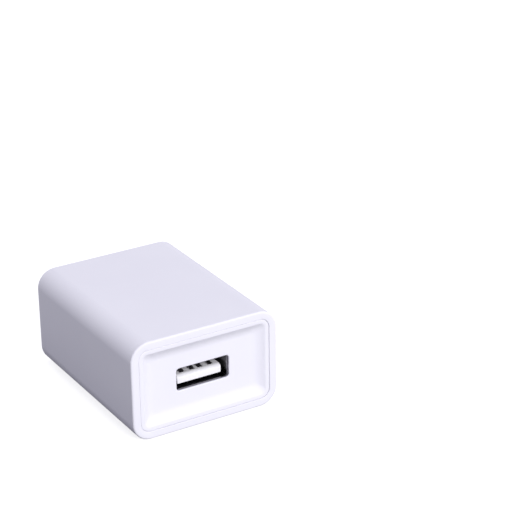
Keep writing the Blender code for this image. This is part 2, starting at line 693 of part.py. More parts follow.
def transformer():
    core_half("transformer_core_front", -1)
    core_half("transformer_core_rear", 1)
    bobbin = object_from(around_axis((2.2, 3.7), -4.5, 4.5, 0.3), "transformer_bobbin", BOBBIN)
    for side, name in ((-1, "front"), (1, "rear")):
        ends = sorted((side * 4.1, side * 4.7))
        join(bobbin, name + "_flange", around_axis((4.75, 5.9), ends[0], ends[1], 0.4))
        rail = sorted((TRANSFORMER_Y + side * 4.3, TRANSFORMER_Y + side * 6.6))
        join(bobbin, name + "_pin_rail", box((-4.75, rail[0], 12.9), (4.75, rail[1], 14.2)))
        row = TRANSFORMER_Y + side * 5.8
        join(bobbin, name + "_pins", *[lead(across, row, 13.4) for across in TRANSFORMER_PIN_XS])
    cut(bobbin, "bobbin_bore", around_axis((1.7, 3.2), -6, 6, 0.1))
    ring("transformer_winding", COPPER, (2.4, 3.9), (4.0, 5.35), -3.95, 3.95)
    ring("transformer_tape", TAPE, (4.15, 5.5), (4.45, 5.8), -3.95, 3.95)
    band = rounded(box((-6.75, TRANSFORMER_Y - 6.85, 6.0), (6.75, TRANSFORMER_Y + 6.85, 10.6)), 2, 0.5, 2)
    core_tape = object_from(band, "transformer_core_tape", TAPE)
    inside = rounded(box((-6.45, TRANSFORMER_Y - 6.55, 5.0), (6.45, TRANSFORMER_Y + 6.55, 12.0)), 2, 0.2, 2)
    cut(core_tape, "core_tape_inside", inside)


# The surface-mounted parts on the board's upper side


def moulded_chip(name, x, y, size, legs, material=EPOXY):
    """A moulded body on bent legs. Legs are (along X, places along Y, width)."""
    length, width, height = size
    low = (x - length / 2, y - width / 2, SURFACE + 0.1)
    body = box(low, (x + length / 2, y + width / 2, SURFACE + height))
    bmesh.ops.bevel(body, geom=body.edges[:], offset=0.15 * MM, segments=1, affect="EDGES")
    made = object_from(body, name, material)
    reach, places, leg_width = legs
    strips = []
    for side in (-1, 1):
        for place in places:
            ends = sorted((x + side * (length / 2 - 0.3), x + side * (length / 2 + reach)))
            near, far = y + place - leg_width / 2, y + place + leg_width / 2
            strips.append(box((ends[0], near, SURFACE), (ends[1], far, SURFACE + height * 0.45)))
    join(made, name + "_legs", *strips)


def chip_passive(name, x, y, height, length=3.2, width=1.6):
    """A small ceramic part, soldered flat."""
    low = (x - length / 2, y - width / 2, SURFACE)
    body = box(low, (x + length / 2, y + width / 2, SURFACE + height))
    bmesh.ops.bevel(body, geom=body.edges[:], offset=0.08 * MM, segments=1, affect="EDGES")
    object_from(body, name, CHIP_CERAMIC)


def insulation_sheet():
    """The film between the board's solder side and the housing, folded down at the safety gap."""
    half_width, near, far, level = 14.5, -4.1, 13.6, 20.0
    strip = bmesh.new()
    path = [(near, SURFACE + 0.9), (near, level), (far, level)]
    row = [strip.verts.new(Vector((-half_width, along, height)) * MM) for along, height in path]
    edges = [strip.edges.new(pair) for pair in zip(row, row[1:])]
    swept = bmesh.ops.extrude_edge_only(strip, edges=edges)["geom"]
    moved = [item for item in swept if isinstance(item, bmesh.types.BMVert)]
    bmesh.ops.translate(strip, vec=(2 * half_width * MM, 0, 0), verts=moved)
    thicken(object_from(strip, "insulation_sheet", FILM), 0.25)


housing_sleeve()
usb_face_cover()
plug_face_cover()
blade_retainer()
blade(-1, "blade_left")
blade(1, "blade_right")

usb_shell()
usb_insulator()
for number, across in enumerate(CONTACT_PLACES, start=1):
    usb_contact(number, across)

main_board()
for job, (x, y) in (("input", INPUT_CAPACITOR), ("output", OUTPUT_CAPACITOR)):
    for side, name in ((-1, "left"), (1, "right")):
        electrolytic(f"{job}_capacitor_{name}", side * x, y, CAN_RADIUS, CAN_HEIGHT, CAN_PITCH)
electrolytic("bias_capacitor", *BIAS_CAPACITOR, 2.5, 7.0, 1.0)
y_capacitor()
filter_choke()
fusible_resistor()
neutral_lead()
transformer()

moulded_chip("bridge_rectifier", -6.8, 10.8, (4.7, 3.9, 2.4), (1.0, (-1.27, 1.27), 0.7))
chip_leg_places = (-1.905, -0.635, 0.635, 1.905)
moulded_chip("controller_chip", 0.0, TRANSFORMER_Y, (3.9, 4.9, 1.5), (1.0, chip_leg_places, 0.4))
moulded_chip("output_rectifier", 0.0, -14.6, (6.8, 5.8, 2.3), (0.5, (0.0,), 3.0))
moulded_chip("snubber_diode", 8.0, 7.6, (4.3, 2.6, 2.1), (0.4, (0.0,), 1.4))
moulded_chip("bias_diode", -6.4, 1.0, (2.7, 1.6, 1.1), (0.4, (0.0,), 0.8))
chip_passive("snubber_resistor", 6.4, -1.2, 0.6)
chip_passive("snubber_capacitor", -6.4, 5.6, 1.2)
chip_passive("startup_resistor_1", 6.4, 1.1, 0.6)
chip_passive("startup_resistor_2", 6.4, 3.4, 0.6)
chip_passive("sense_resistor", -6.4, -1.4, 0.6)
chip_passive("feedback_resistor_upper", -6.4, 3.3, 0.6)
chip_passive("feedback_resistor_lower", -0.5, 6.0, 0.6)
chip_passive("output_bleed_resistor", 6.0, -7.0, 0.6)
chip_passive("output_ceramic_capacitor", -6.0, -7.0, 1.2)
chip_passive("data_line_resistor", 0.0, -10.6, 0.45, 1.6, 0.8)
insulation_sheet()
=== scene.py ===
"""Looks for the USB wall charger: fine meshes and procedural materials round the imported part.

Lengths are in millimetres, which the helpers scale to metres, and angles are in degrees. The frame
is the part's own: +X is its width, +Y points out of the plug face along the blades, and +Z is up.
"""

import json
import math

import bmesh
import bpy
from mathutils import Euler, Matrix, Vector


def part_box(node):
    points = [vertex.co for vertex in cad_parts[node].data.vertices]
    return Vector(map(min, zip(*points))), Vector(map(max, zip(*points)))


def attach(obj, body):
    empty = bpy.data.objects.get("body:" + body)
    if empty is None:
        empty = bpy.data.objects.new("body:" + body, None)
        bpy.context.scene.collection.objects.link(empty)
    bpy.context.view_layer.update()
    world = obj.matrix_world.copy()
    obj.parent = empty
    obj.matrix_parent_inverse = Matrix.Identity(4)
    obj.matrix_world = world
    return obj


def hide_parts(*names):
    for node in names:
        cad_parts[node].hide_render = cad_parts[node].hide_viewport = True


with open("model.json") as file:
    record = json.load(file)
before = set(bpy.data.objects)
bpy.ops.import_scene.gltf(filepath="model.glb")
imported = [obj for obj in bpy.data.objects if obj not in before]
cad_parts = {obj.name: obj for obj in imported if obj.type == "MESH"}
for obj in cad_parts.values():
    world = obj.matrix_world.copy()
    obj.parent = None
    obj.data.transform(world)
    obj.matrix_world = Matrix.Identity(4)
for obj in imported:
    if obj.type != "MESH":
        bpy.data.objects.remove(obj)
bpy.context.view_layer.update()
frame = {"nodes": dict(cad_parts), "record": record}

MM = 0.001
MAIN_BODY = "charger"


def node_box(name):
    """A CAD node's lowest and highest corner, in millimetres."""
    low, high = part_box(name)
    return low / MM, high / MM


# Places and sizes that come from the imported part
SLEEVE_LOW, SLEEVE_HIGH = node_box("housing_sleeve")
HALF_WIDTH = SLEEVE_HIGH.x
HALF_HEIGHT = (SLEEVE_HIGH.z - SLEEVE_LOW.z) / 2
MID = (SLEEVE_HIGH.z + SLEEVE_LOW.z) / 2
USB_END = SLEEVE_LOW.y
PLUG_END = SLEEVE_HIGH.y
SOCKET_LOW, SOCKET_HIGH = node_box("usb_shell")
BLADE_LOW, BLADE_HIGH = node_box("blade_right")
BLADE_X = (BLADE_LOW.x + BLADE_HIGH.x) / 2
BLADE_HALF_THICK = (BLADE_HIGH.x - BLADE_LOW.x) / 2
BOARD_LOW, BOARD_HIGH = node_box("main_board")

# The sleeve: its outside, its bore, and the wider seat at its plug end
CORNER = 4.4
WALL = 1.9
RIM_ROUND = 0.45
BORE_CORNER = 2.3
BORE_ROUND = 0.15
SEAT_INSET = 0.95
SEAT_CORNER = 3.4
SEAT_DEPTH = 1.9
PLUG_SEAT = PLUG_END - SEAT_DEPTH

# The two covers. A section is (half width, half height, corner radius)
SEAM = 0.04
COVER_EDGE = 0.14
COVER_SHEET = 1.2
COVER_CORNER = 1.0

# The socket cover: its ring, the dish, and the mouth with a pocket behind it for the shell
RING_INSET = 0.1
RING_WIDTH = 0.85
DISH_CORNER = 1.35
DISH_SLOPE = 2.8
DISH_BRINK = 0.07
DISH_STEPS = 16
FLOOR_CORNER = 0.9
FLOOR_MARGIN = 0.1
PANEL_DEPTH = 1.3
PANEL_THICK = 1.2
MOUTH = (13.05 / 2, 5.3 / 2, 0.7)
MOUTH_ROUND = 0.25
MOUTH_LIP = 0.35
POCKET = (6.75, 3.06, 0.8)
SOCKET_COVER_DEPTH = 3.1

# The plug cover: its face, the spigot inside the sleeve, and the boss that grips the blades
PLUG_INSET = 0.15
PLUG_FACE = PLUG_END - PLUG_INSET
FACE_GAP = 0.15
SPIGOT_GAP = 0.2
SPIGOT_CORNER = 2.1
SPIGOT_BACK = 18.6
BOSS = (9.2, 4.4, 0.8)
BOSS_BACK = 17.4
PEG_Y = 16.0
PEG_HEIGHT = 2.6
PEG_RADIUS = 0.8
PEG_LENGTH = 3.2
SLOT_GAP = 0.02

# The blades: the width that shows, then the shoulder and the tail behind the boss
BLADE_HALF_WIDTH = 3.175
TIP_RISE = 1.8
TIP_LEAN = 16
SHOULDER_HALF_WIDTH = 3.9
SHOULDER_FRONT = 17.1
SHOULDER_BACK = 16.2
TAIL_HALF_WIDTH = 2.0
TAIL_END = 12.0
TAIL_ROUND = 0.6
TAIL_HOLE_Y = 13.4
TAIL_HOLE_RADIUS = 0.7
BLADE_ROUND = 0.10

# The socket
SHELL = (6.55, 2.86, 0.6)
SHELL_SHEET = 0.3
SHELL_EDGE = 0.08
LEG_BACK = -12.8
LEG_FRONT = -11.2
LEG_DROP = 1.2
NOTCH_HALF_WIDTH = 5.2
NOTCH_LENGTH = 2.8
FINGER_X = 3.1
FINGER_HALF_WIDTH = 0.9
WINDOW_HALF_WIDTH = 1.25
TONGUE_LOW = 9.6
TONGUE_HIGH = 11.6
TONGUE_HALF_WIDTH = 5.55
TONGUE_CORNER = 0.25
TONGUE_ROOT = -9.8
BASE_FRONT = -10.3
GROOVE_LOW = 10.7
GROOVE_START = 1.25
GROOVE_END = -8.3
GROOVE_MARGIN = 0.2
CONTACT_COUNT = 4
CONTACT_WIDTH = 0.9
CONTACT_THICK = 0.25
CONTACT_LEVEL = 11.3
CONTACT_TAIL_Y = -9.0
FINE_ROUND = 0.04

# Fineness of the meshes
CORNER_STEPS = 20
CREASE_ANGLE = 32


# Building blocks


def add_piece(name, mesh, material, replaced=(), body=MAIN_BODY):
    """A piece of the charger that rides on a body and stands for CAD nodes, with their finish."""
    mesh.materials.clear()
    mesh.materials.append(material)
    piece = bpy.data.objects.new(name, smoothed(mesh))
    bpy.context.scene.collection.objects.link(piece)
    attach(piece, body)
    if replaced:
        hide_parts(*replaced)
    weighted = piece.modifiers.new("flat_faces", "WEIGHTED_NORMAL")
    weighted.keep_sharp = True
    return piece


def smoothed(mesh):
    """Smooth shading with sharp creases."""
    mesh.shade_smooth()
    mesh.set_sharp_from_angle(angle=math.radians(CREASE_ANGLE))
    return mesh


def helper_object(shape, name):
    """A plain object to model with, which stays out of the render."""
    mesh = bpy.data.meshes.new(name)
    bmesh.ops.recalc_face_normals(shape, faces=shape.faces)
    shape.to_mesh(mesh)
    shape.free()
    made = bpy.data.objects.new(name, mesh)
    bpy.context.scene.collection.objects.link(made)
    made.hide_render = True
    return made


def together(shapes):
    """Several shapes as one."""
    whole = bmesh.new()
    for shape in shapes:
        passing = bpy.data.meshes.new("passing")
        shape.to_mesh(passing)
        shape.free()
        whole.from_mesh(passing)
        bpy.data.meshes.remove(passing)
    return whole


def built(shape, *steps, rounding=0.0):
    """The mesh of a shape after its Booleans, each (operation, shapes), with its edges rounded."""
    target = helper_object(shape, "target")
    helpers = []
    for operation, others in steps:
        helper = helper_object(together(others), "helper")
        helpers.append(helper)
        step = target.modifiers.new("step", "BOOLEAN")
        step.operation = operation
        step.solver = "EXACT"
        step.object = helper
    if rounding:
        bevel = target.modifiers.new("rounding", "BEVEL")
        bevel.width = rounding * MM
        bevel.segments = 2
        bevel.limit_method = "ANGLE"
        bevel.angle_limit = math.radians(40)
    bpy.context.view_layer.update()
    graph = bpy.context.evaluated_depsgraph_get()
    mesh = bpy.data.meshes.new_from_object(target.evaluated_get(graph))
    for helper in [target] + helpers:
        bpy.data.objects.remove(helper)
    return mesh


def block(low, high):
    """A box between two corners."""
    shape = bmesh.new()
    bmesh.ops.create_cube(shape, size=MM)
    bmesh.ops.scale(shape, vec=Vector(high) - Vector(low), verts=shape.verts)
    centre = (Vector(high) + Vector(low)) / 2
    bmesh.ops.translate(shape, vec=centre * MM, verts=shape.verts)
    return shape


def peg(centre, radius, length, turn):
    """A cylinder, turned from upright by a rotation."""
    shape = bmesh.new()
    bmesh.ops.create_cone(
        shape, cap_ends=True, segments=32,
        radius1=radius * MM, radius2=radius * MM, depth=length * MM,
    )
    place = Matrix.Translation(Vector(centre) * MM)
    bmesh.ops.transform(shape, matrix=place @ turn, verts=shape.verts)
    return shape


def arc(centre, radius, start, end, steps):
    """Points on a flat arc, with its angles in degrees."""
    points = []
    for step in range(steps + 1):
        angle = math.radians(start + (end - start) * step / steps)
        across = centre[0] + radius * math.cos(angle)
        points.append((across, centre[1] + radius * math.sin(angle)))
    return points


def softened(path):
    """A path with its corners cut three times over, so that it bends smoothly."""
    for _ in range(3):
        cut = [path[0]]
        for (x1, y1), (x2, y2) in zip(path, path[1:]):
            cut.append((0.75 * x1 + 0.25 * x2, 0.75 * y1 + 0.25 * y2))
            cut.append((0.25 * x1 + 0.75 * x2, 0.25 * y1 + 0.75 * y2))
        path = cut + [path[-1]]
    return path


def rounded_outline(half_width, half_height, radius, steps=CORNER_STEPS):
    """A rounded rectangle about the origin."""
    points = []
    for quarter, (across, up) in enumerate(((1, 1), (-1, 1), (-1, -1), (1, -1))):
        centre = (across * (half_width - radius), up * (half_height - radius))
        points += arc(centre, radius, 90 * quarter, 90 * quarter + 90, steps)
    return points


def skin(rings, closed):
    """Faces between rings of points. A closed one joins its ends, and an open one is capped."""
    shape = bmesh.new()
    rings = [[shape.verts.new(Vector(point) * MM) for point in ring] for ring in rings]
    pairs = list(zip(rings, rings[1:]))
    if closed:
        pairs.append((rings[-1], rings[0]))
    for first, second in pairs:
        for i in range(len(first)):
            j = (i + 1) % len(first)
            shape.faces.new((first[i], first[j], second[j], second[i]))
    if not closed:
        shape.faces.new(rings[0])
        shape.faces.new(rings[-1])
    return shape


def loft(sections, closed, steps=CORNER_STEPS):
    """A skin through rounded rectangles along Y, each (half width, half height, corner, y)."""
    rings = []
    for half_width, half_height, radius, along in sections:
        outline = rounded_outline(half_width, half_height, radius, steps)
        rings.append([(x, along, z + MID) for x, z in outline])
    return skin(rings, closed)


def grown(section, amount):
    """A section's sizes, all grown by the same amount."""
    return tuple(size + amount for size in section)


def prism(outline, x_low, x_high):
    """A flat outline of (y, z) points, made solid along X."""
    return skin([[(x, y, z) for y, z in outline] for x in (x_low, x_high)], closed=False)


# Materials


# Blender's wave texture makes this many bands a metre at a scale of 1
WAVES_PER_SCALE = 3.183


def new_material(name, colour, roughness, metallic=0.0, specular=0.5):
    made = bpy.data.materials.new(name)
    made.use_nodes = True
    shader = made.node_tree.nodes["Principled BSDF"]
    shader.inputs["Base Color"].default_value = (*colour, 1.0)
    shader.inputs["Roughness"].default_value = roughness
    shader.inputs["Metallic"].default_value = metallic
    shader.inputs["Specular IOR Level"].default_value = specular
    return made


def link(made, source, target):
    made.node_tree.links.new(source, target)


def noise(made, scale, detail=3.0, stretch=(1, 1, 1), roughness=0.55):
    """Noise over the part's own coordinates. The scale is in waves per metre."""
    nodes = made.node_tree.nodes
    place = nodes.new("ShaderNodeTexCoord")
    mapping = nodes.new("ShaderNodeMapping")
    mapping.inputs["Scale"].default_value = stretch
    pattern = nodes.new("ShaderNodeTexNoise")
    pattern.inputs["Scale"].default_value = scale
    pattern.inputs["Detail"].default_value = detail
    pattern.inputs["Roughness"].default_value = roughness
    link(made, place.outputs["Object"], mapping.inputs["Vector"])
    link(made, mapping.outputs["Vector"], pattern.inputs["Vector"])
    return pattern.outputs["Fac"]


def bands(made, scale, direction):
    """Even bands across one axis. The scale is in bands per metre."""
    nodes = made.node_tree.nodes
    place = nodes.new("ShaderNodeTexCoord")
    pattern = nodes.new("ShaderNodeTexWave")
    pattern.bands_direction = direction
    pattern.inputs["Scale"].default_value = scale / WAVES_PER_SCALE
    link(made, place.outputs["Object"], pattern.inputs["Vector"])
    return pattern.outputs["Fac"]


def depth_along_y(made, near, far):
    """From 0 to 1 between two places along the part's own Y, in millimetres."""
    nodes = made.node_tree.nodes
    place = nodes.new("ShaderNodeTexCoord")
    split = nodes.new("ShaderNodeSeparateXYZ")
    between = nodes.new("ShaderNodeMapRange")
    between.inputs["From Min"].default_value = near * MM
    between.inputs["From Max"].default_value = far * MM
    link(made, place.outputs["Object"], split.inputs["Vector"])
    link(made, split.outputs["Y"], between.inputs["Value"])
    return between.outputs["Result"]


def ramp(made, source, stops):
    """Colours along a source, as (place, colour)."""
    node = made.node_tree.nodes.new("ShaderNodeValToRGB")
    elements = node.color_ramp.elements
    while len(elements) < len(stops):
        elements.new(0.5)
    for element, (place, colour) in zip(elements, stops):
        element.position = place
        element.color = (*colour, 1.0)
    link(made, source, node.inputs["Fac"])
    return node.outputs["Color"]


def spread(made, source, low, high):
    """The source's middle range mapped onto two values."""
    node = made.node_tree.nodes.new("ShaderNodeMapRange")
    node.inputs["From Min"].default_value = 0.3
    node.inputs["From Max"].default_value = 0.7
    node.inputs["To Min"].default_value = low
    node.inputs["To Max"].default_value = high
    link(made, source, node.inputs["Value"])
    return node.outputs["Result"]


def colour_by(made, source, low, high, places=(0.35, 0.65)):
    shader = made.node_tree.nodes["Principled BSDF"]
    stops = ((places[0], low), (places[1], high))
    link(made, ramp(made, source, stops), shader.inputs["Base Color"])


def roughness_by(made, source, low, high):
    shader = made.node_tree.nodes["Principled BSDF"]
    link(made, spread(made, source, low, high), shader.inputs["Roughness"])


def bump_by(made, source, depth, strength, before=None):
    """Relief from a source, its depth in millimetres, over an earlier layer if there is one."""
    shader = made.node_tree.nodes["Principled BSDF"]
    node = made.node_tree.nodes.new("ShaderNodeBump")
    node.inputs["Distance"].default_value = depth * MM
    node.inputs["Strength"].default_value = strength
    link(made, source, node.inputs["Height"])
    if before:
        link(made, before, node.inputs["Normal"])
    link(made, node.outputs["Normal"], shader.inputs["Normal"])
    return node.outputs["Normal"]


def white_moulding():
    """Satin white plastic with the fine, even grain of a spark-eroded mould."""
    made = new_material("housing_white", (0.80, 0.79, 0.86), 0.50, specular=0.30)
    colour_by(made, noise(made, 60), (0.795, 0.787, 0.858), (0.808, 0.800, 0.868))
    roughness_by(made, noise(made, 900, detail=4), 0.46, 0.56)
    wave = bump_by(made, noise(made, 120, detail=1), 0.010, 0.35)
    bump_by(made, noise(made, 7000, detail=2), 0.003, 0.5, wave)
    return made


def nickel_plate():
    """Nickel over brass, with fine lines drawn along the blade and faint scuffs from sockets."""
    made = new_material("blade_nickel", (0.70, 0.67, 0.70), 0.28, 1.0)
    drawn = noise(made, 4200, detail=3, stretch=(1.0, 0.012, 1.0))
    scuffs = noise(made, 260, detail=4, stretch=(1.0, 0.3, 1.0))
    colour_by(made, scuffs, (0.685, 0.655, 0.685), (0.72, 0.69, 0.72))
    roughness_by(made, drawn, 0.24, 0.34)
    bump_by(made, drawn, 0.0015, 0.5)
    return made


def shell_steel():
    """Rolled sheet, with a painted highlight along its cut front edge and painted shade inside the
    socket.
    """
    # Painted shade: the steel is coloured darker than tinned sheet to stand for the dark inside the
    # socket
    made = new_material("shell_steel", (0.15, 0.15, 0.16), 0.20, 1.0)
    rolled = noise(made, 3000, detail=4, stretch=(1.0, 0.06, 1.0))
    # Painted light: colour runs from a painted highlight at the cut front edge to painted shade from
    # 0.4 mm in
    edge_highlight_and_socket_shade = depth_along_y(made, SOCKET_LOW.y + 0.05, SOCKET_LOW.y + 0.4)
    colour_by(made, edge_highlight_and_socket_shade, (0.46, 0.45, 0.49), (0.13, 0.13, 0.14), (0.0, 1.0))
    roughness_by(made, rolled, 0.15, 0.26)
    bump_by(made, rolled, 0.003, 0.5)
    return made


def contact_tin():
    """Matt tin on spring bronze, wiped brighter along the strip."""
    made = new_material("contact_tin", (0.55, 0.53, 0.55), 0.34, 1.0)
    wiped = noise(made, 2500, detail=4, stretch=(1.0, 0.08, 1.0))
    colour_by(made, wiped, (0.46, 0.44, 0.46), (0.60, 0.58, 0.60))
    roughness_by(made, wiped, 0.26, 0.42)
    bump_by(made, wiped, 0.003, 0.4)
    return made


def socket_white():
    """Glass-filled insulator, faintly mottled."""
    made = new_material("socket_white", (0.90, 0.89, 0.93), 0.48)
    colour_by(made, noise(made, 1800, detail=5), (0.88, 0.87, 0.91), (0.92, 0.91, 0.95))
    roughness_by(made, noise(made, 900), 0.42, 0.55)
    bump_by(made, noise(made, 5000, detail=3), 0.004, 0.5)
    return made


def board_laminate():
    """Paper laminate with its fibres, under a thin varnish."""
    made = new_material("board_laminate", (0.50, 0.38, 0.18), 0.45)
    fibres = noise(made, 1500, detail=6, stretch=(0.25, 1.0, 1.0), roughness=0.7)
    colour_by(made, fibres, (0.42, 0.30, 0.13), (0.56, 0.43, 0.22))
    roughness_by(made, noise(made, 500), 0.38, 0.55)
    bump_by(made, fibres, 0.010, 0.4)
    return made


def ferrite():
    """Sintered grey-black ceramic, ground on its faces."""
    made = new_material("ferrite", (0.06, 0.06, 0.065), 0.50, specular=0.6)
    grains = noise(made, 4000, detail=6, roughness=0.75)
    colour_by(made, grains, (0.045, 0.045, 0.05), (0.085, 0.085, 0.092))
    roughness_by(made, noise(made, 700), 0.42, 0.62)
    bump_by(made, grains, 0.010, 0.6)
    return made


def bobbin_black():
    """Moulded phenolic, flecked by its filler."""
    made = new_material("bobbin_black", (0.02, 0.02, 0.02), 0.45)
    colour_by(made, noise(made, 3500, detail=6), (0.014, 0.014, 0.014), (0.035, 0.033, 0.031))
    roughness_by(made, noise(made, 900), 0.36, 0.55)
    bump_by(made, noise(made, 2500), 0.006, 0.5)
    return made


def copper_wire():
    """Enamelled copper, turn beside turn, 0.2 mm apart, with painted shade in the grooves between
    turns.
    """
    made = new_material("copper_wire", (0.70, 0.36, 0.17), 0.28, 1.0)
    turns_and_groove_shade = bands(made, 5000, "Y")
    # Painted shade: the colour follows the relief of the turns and is darkest in the grooves between
    # them
    colour_by(made, turns_and_groove_shade, (0.38, 0.15, 0.06), (0.78, 0.42, 0.20), (0.05, 0.6))
    roughness_by(made, noise(made, 1500), 0.22, 0.36)
    bump_by(made, turns_and_groove_shade, 0.08, 0.9)
    return made


def polyester_tape():
    """Yellow tape, with the edges of its layers showing through as faint lines."""
    made = new_material("polyester_tape", (0.82, 0.66, 0.12), 0.25)
    colour_by(made, noise(made, 400, detail=3), (0.76, 0.58, 0.08), (0.86, 0.71, 0.16))
    roughness_by(made, noise(made, 900), 0.18, 0.34)
    bump_by(made, noise(made, 350, detail=2), 0.03, 0.5)
    return made


def capacitor_sleeve():
    """Shrunk plastic sleeve, dark blue, with a slight orange peel."""
    made = new_material("capacitor_sleeve", (0.05, 0.07, 0.16), 0.28)
    colour_by(made, noise(made, 500, detail=3), (0.040, 0.056, 0.135), (0.062, 0.084, 0.185))
    roughness_by(made, noise(made, 700), 0.20, 0.36)
    bump_by(made, noise(made, 900, detail=2), 0.010, 0.5)
    return made


def disc_blue():
    """Dipped epoxy, slightly uneven."""
    made = new_material("disc_blue", (0.06, 0.18, 0.50), 0.40)
    colour_by(made, noise(made, 700, detail=4), (0.05, 0.15, 0.43), (0.075, 0.21, 0.56))
    roughness_by(made, noise(made, 500), 0.32, 0.50)
    bump_by(made, noise(made, 600, detail=3), 0.03, 0.5)
    return made


def chip_epoxy():
    """Moulded chip body, matt and finely flecked."""
    made = new_material("chip_epoxy", (0.03, 0.03, 0.03), 0.55)
    colour_by(made, noise(made, 6000, detail=4), (0.022, 0.022, 0.023), (0.045, 0.045, 0.046))
    roughness_by(made, noise(made, 1500), 0.48, 0.64)
    bump_by(made, noise(made, 5000), 0.006, 0.5)
    return made


def chip_ceramic():
    """Fired ceramic block, faintly speckled."""
    made = new_material("chip_ceramic", (0.46, 0.39, 0.31), 0.50)
    colour_by(made, noise(made, 5000, detail=5), (0.41, 0.34, 0.27), (0.50, 0.43, 0.35))
    roughness_by(made, noise(made, 1500), 0.42, 0.60)
    bump_by(made, noise(made, 4000), 0.004, 0.5)
    return made


def resistor_body():
    """Flame-proof cement coating, grey-green."""
    made = new_material("resistor_body", (0.20, 0.42, 0.30), 0.55)
    colour_by(made, noise(made, 2500, detail=5), (0.17, 0.37, 0.26), (0.23, 0.46, 0.34))
    roughness_by(made, noise(made, 900), 0.45, 0.65)
    bump_by(made, noise(made, 1200), 0.02, 0.5)
    return made


def heat_shrink():
    """Black shrink tube, softly rippled."""
    made = new_material("heat_shrink", (0.025, 0.025, 0.026), 0.48)
    colour_by(made, noise(made, 900), (0.018, 0.018, 0.019), (0.036, 0.036, 0.037))
    roughness_by(made, noise(made, 600), 0.40, 0.58)
    bump_by(made, noise(made, 300, detail=2), 0.04, 0.5)
    return made


def wire_insulation():
    """Red extruded insulation with faint drawn lines."""
    made = new_material("wire_insulation", (0.55, 0.05, 0.04), 0.38)
    colour_by(made, noise(made, 1200), (0.48, 0.04, 0.03), (0.60, 0.06, 0.05))
    roughness_by(made, noise(made, 900), 0.30, 0.46)
    bump_by(made, noise(made, 1500, stretch=(1.0, 1.0, 0.2)), 0.006, 0.5)
    return made


def insulation_film():
    """Milky polyester film, slightly uneven in thickness."""
    made = new_material("insulation_film", (0.78, 0.76, 0.68), 0.30)
    colour_by(made, noise(made, 250, detail=4), (0.74, 0.72, 0.63), (0.81, 0.79, 0.72))
    roughness_by(made, noise(made, 500), 0.22, 0.40)
    bump_by(made, noise(made, 120, detail=2), 0.05, 0.4)
    return made


def print_ink():
    """Grey pad-printed ink, a little uneven."""
    made = new_material("print_ink", (0.25, 0.24, 0.29), 0.55)
    colour_by(made, noise(made, 2500, detail=4), (0.22, 0.21, 0.26), (0.29, 0.28, 0.33))
    roughness_by(made, noise(made, 900), 0.48, 0.62)
    return made


SLOT_MATERIALS = {
    "housing_white": white_moulding,
    "blade_nickel": nickel_plate,
    "shell_steel": shell_steel,
    "contact_tin": contact_tin,
    "socket_white": socket_white,
    "board_laminate": board_laminate,
    "ferrite": ferrite,
    "bobbin_black": bobbin_black,
    "copper_wire": copper_wire,
    "polyester_tape": polyester_tape,
    "capacitor_sleeve": capacitor_sleeve,
    "disc_blue": disc_blue,
    "chip_epoxy": chip_epoxy,
    "chip_ceramic": chip_ceramic,
    "resistor_body": resistor_body,
    "heat_shrink": heat_shrink,
    "wire_insulation": wire_insulation,
    "insulation_film": insulation_film,
}
MATERIALS = {slot: make() for slot, make in SLOT_MATERIALS.items()}


def paint_cad_nodes():
    """Gives every CAD node its slot's material, also those that finer pieces replace."""
    for subpart in frame["record"]["subparts"]:
        node = frame["nodes"][subpart["node"]]
        node.data.materials.clear()
        node.data.materials.append(MATERIALS[subpart["material_slot"]])


# The mouldings


def housing_sleeve():
    """The one-piece sleeve, with rounded rims, board rails and stops for the socket cover."""
    outer = (HALF_WIDTH, HALF_HEIGHT, CORNER)
    bore = (HALF_WIDTH - WALL, HALF_HEIGHT - WALL, BORE_CORNER)
    seat = (HALF_WIDTH - SEAT_INSET, HALF_HEIGHT - SEAT_INSET, SEAT_CORNER)
    sections = []
    for inset, along in arc((RIM_ROUND, USB_END + RIM_ROUND), RIM_ROUND, 270, 180, 8):
        sections.append((*grown(outer, -inset), along))
    for inset, along in arc((RIM_ROUND, PLUG_END - RIM_ROUND), RIM_ROUND, 180, 90, 8):
        sections.append((*grown(outer, -inset), along))
    for reach, along in arc((BORE_ROUND, PLUG_END - BORE_ROUND), BORE_ROUND, 90, 180, 3):
        sections.append((*grown(seat, reach), along))
    sections.append((*seat, PLUG_SEAT))
    sections.append((*bore, PLUG_SEAT))
    for reach, along in arc((BORE_ROUND, USB_END + BORE_ROUND), BORE_ROUND, 180, 270, 3):
        sections.append((*grown(bore, reach), along))
    inside = board_rails(bore[0]) + cover_stops()
    mesh = built(loft(sections, closed=True), ("UNION", inside))
    return add_piece("sleeve_moulding", mesh, MATERIALS["housing_white"], ["housing_sleeve"])


def board_rails(bore_half_width):
    """A rail under and over the board on each side of the bore, sunk a little into the wall."""
    reach, sunk, thick = 0.8, 0.4, 0.75
    near, far = BOARD_LOW.y + 0.6, BOARD_HIGH.y - 2.4
    rails = []
    for side in (-1, 1):
        across = sorted((side * (bore_half_width - reach), side * (bore_half_width + sunk)))
        for low in (BOARD_LOW.z - 1.05, BOARD_LOW.z + 1.3):
            rails.append(block((across[0], near, low), (across[1], far, low + thick)))
    return rails


def cover_stops():
    """Three stops on the floor and three on the roof, for the back of the socket cover."""
    half_width, height, length = 1.5, 1.2, 2
    near = USB_END + 3.4
    stops = []
    for across in (-11.0, 0.0, 11.0):
        for low in (WALL - 0.4, SLEEVE_HIGH.z - WALL - 0.8):
            far_corner = (across + half_width, near + length, low + height)
            stops.append(block((across - half_width, near, low), far_corner))
    return stops


